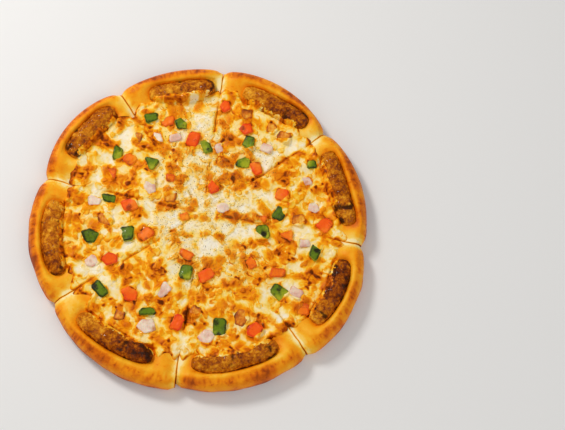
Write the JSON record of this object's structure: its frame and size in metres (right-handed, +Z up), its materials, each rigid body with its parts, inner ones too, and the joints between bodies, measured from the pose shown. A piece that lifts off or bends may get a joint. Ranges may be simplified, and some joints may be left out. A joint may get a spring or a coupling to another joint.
{
  "type": "pan pizza",
  "caption": "Round pan pizza cut into slices, with a kebab baked into the crust of each slice and diced peppers and onion in browned cheese.",
  "frame": {"origin": "on the underside, in the middle of the pizza's bounding box", "axes": "+Z up through the cheese; +X to the right and +Y away from a person who looks at the pizza as in the picture"},
  "size_m": [0.3042, 0.2987, 0.025],
  "materials": {
    "dough": "baked, soft sheen",
    "cheese": "melted, oily",
    "kebab": "rough, a little oily",
    "green_pepper": "moist",
    "red_pepper": "moist",
    "onion": "moist, translucent"
  },
  "bodies": {
    "root": {"slice_1_dough": "dough", "slice_1_cheese": "cheese", "slice_1_kebab": "kebab", "slice_2_dough": "dough", "slice_2_cheese": "cheese", "slice_2_kebab": "kebab", "slice_3_dough": "dough", "slice_3_cheese": "cheese", "slice_3_kebab": "kebab", "slice_4_dough": "dough", "slice_4_cheese": "cheese", "slice_4_kebab": "kebab", "slice_5_dough": "dough", "slice_5_cheese": "cheese", "slice_5_kebab": "kebab", "slice_6_dough": "dough", "slice_6_cheese": "cheese", "slice_6_kebab": "kebab", "slice_7_dough": "dough", "slice_7_cheese": "cheese", "slice_7_kebab": "kebab", "slice_8_dough": "dough", "slice_8_cheese": "cheese", "slice_8_kebab": "kebab", "green_pepper_01": "green_pepper", "green_pepper_02": "green_pepper", "green_pepper_03": "green_pepper", "green_pepper_04": "green_pepper", "green_pepper_05": "green_pepper", "green_pepper_06": "green_pepper", "green_pepper_07": "green_pepper", "green_pepper_08": "green_pepper", "green_pepper_09": "green_pepper", "green_pepper_10": "green_pepper", "green_pepper_11": "green_pepper", "green_pepper_12": "green_pepper", "green_pepper_13": "green_pepper", "green_pepper_14": "green_pepper", "green_pepper_15": "green_pepper", "green_pepper_16": "green_pepper", "green_pepper_17": "green_pepper", "green_pepper_18": "green_pepper", "red_pepper_01": "red_pepper", "red_pepper_02": "red_pepper", "red_pepper_03": "red_pepper", "red_pepper_04": "red_pepper", "red_pepper_05": "red_pepper", "red_pepper_06": "red_pepper", "red_pepper_07": "red_pepper", "red_pepper_08": "red_pepper", "red_pepper_09": "red_pepper", "red_pepper_10": "red_pepper", "red_pepper_11": "red_pepper", "red_pepper_12": "red_pepper", "red_pepper_13": "red_pepper", "onion_01": "onion", "onion_02": "onion", "onion_03": "onion", "onion_04": "onion", "onion_05": "onion"}
  },
  "joints": []
}
